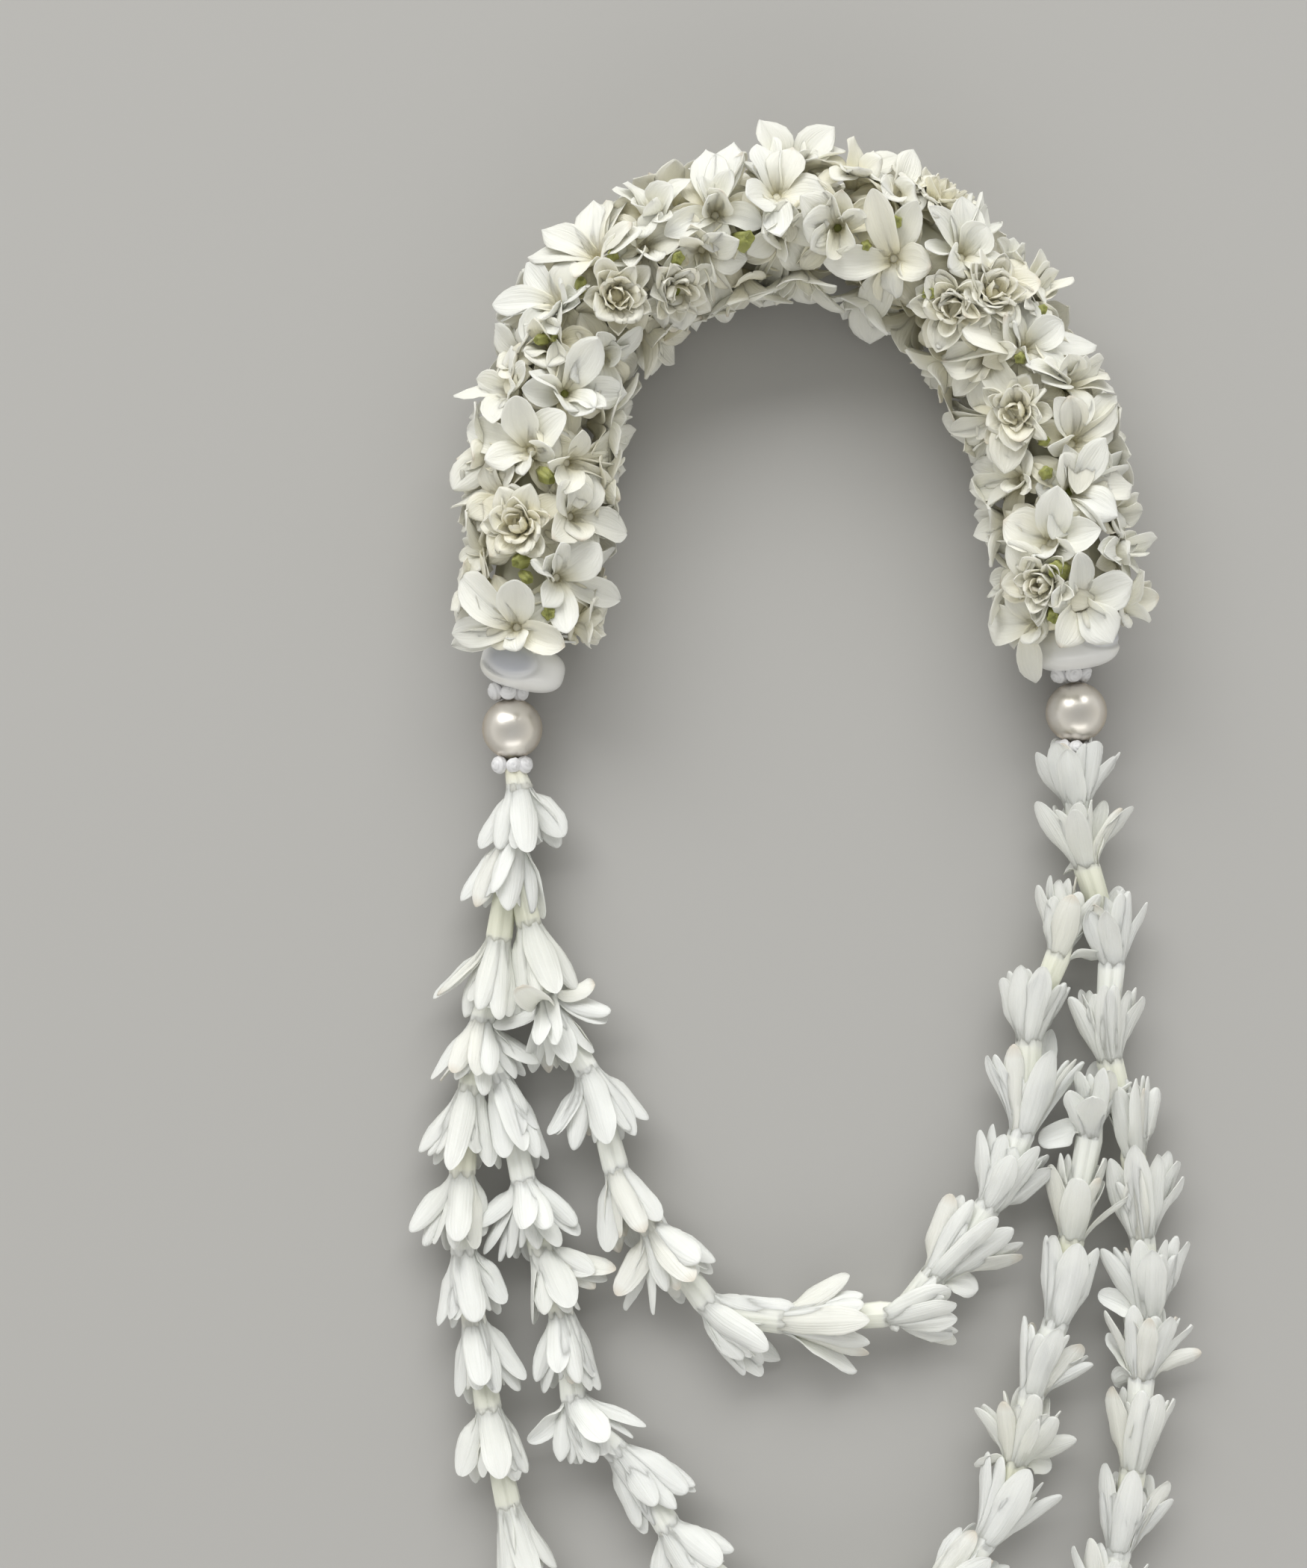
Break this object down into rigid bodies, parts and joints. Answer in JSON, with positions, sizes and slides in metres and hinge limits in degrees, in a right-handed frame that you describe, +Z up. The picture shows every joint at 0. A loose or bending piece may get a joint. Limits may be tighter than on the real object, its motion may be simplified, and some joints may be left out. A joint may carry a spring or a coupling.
{
  "type": "flower lei",
  "caption": "Lei of strung white blooms: a thick arch garland, then a shell and a pearl on each side, and nested loops of blooms strung end to end.",
  "frame": {"origin": "centre of the bounding box, on the surface that the lei lies on", "axes": "+Z up; +Y from the loops towards the arch garland; +X to the right as seen from above with the arch at the top"},
  "size_m": [0.2072, 0.4624, 0.048],
  "materials": {
    "petal": "soft, slightly waxy white petal, cream at the throat and green at the base",
    "pearl": "lustrous silvery cream pearl",
    "shell": "smooth polished grey-white shell",
    "bead_shell": "small satin white shells",
    "thread": "off-white cotton thread"
  },
  "bodies": {
    "root": {"garland_1": "petal", "garland_2": "petal", "garland_3": "petal", "garland_4": "petal", "garland_5": "petal", "garland_6": "petal", "garland_7": "petal", "garland_8": "petal", "garland_9": "petal", "garland_10": "petal", "left_head": "petal", "left_fork": "petal", "outer_blooms_1": "petal", "outer_blooms_2": "petal", "outer_blooms_3": "petal", "outer_blooms_4": "petal", "outer_blooms_5": "petal", "outer_blooms_6": "petal", "outer_blooms_7": "petal", "outer_blooms_8": "petal", "outer_blooms_9": "petal", "outer_blooms_10": "petal", "outer_blooms_11": "petal", "outer_blooms_12": "petal", "middle_blooms_1": "petal", "middle_blooms_2": "petal", "middle_blooms_3": "petal", "middle_blooms_4": "petal", "middle_blooms_5": "petal", "middle_blooms_6": "petal", "middle_blooms_7": "petal", "middle_blooms_8": "petal", "inner_blooms_1": "petal", "inner_blooms_2": "petal", "inner_blooms_3": "petal", "inner_blooms_4": "petal", "inner_blooms_5": "petal", "inner_blooms_6": "petal", "left_shell": "shell", "right_shell": "shell", "left_pearl": "pearl", "right_pearl": "pearl", "left_upper_ring": "bead_shell", "left_lower_ring": "bead_shell", "right_upper_ring": "bead_shell", "right_lower_ring": "bead_shell", "main_thread": "thread", "outer_thread": "thread", "middle_thread": "thread", "inner_thread": "thread"}
  },
  "joints": []
}
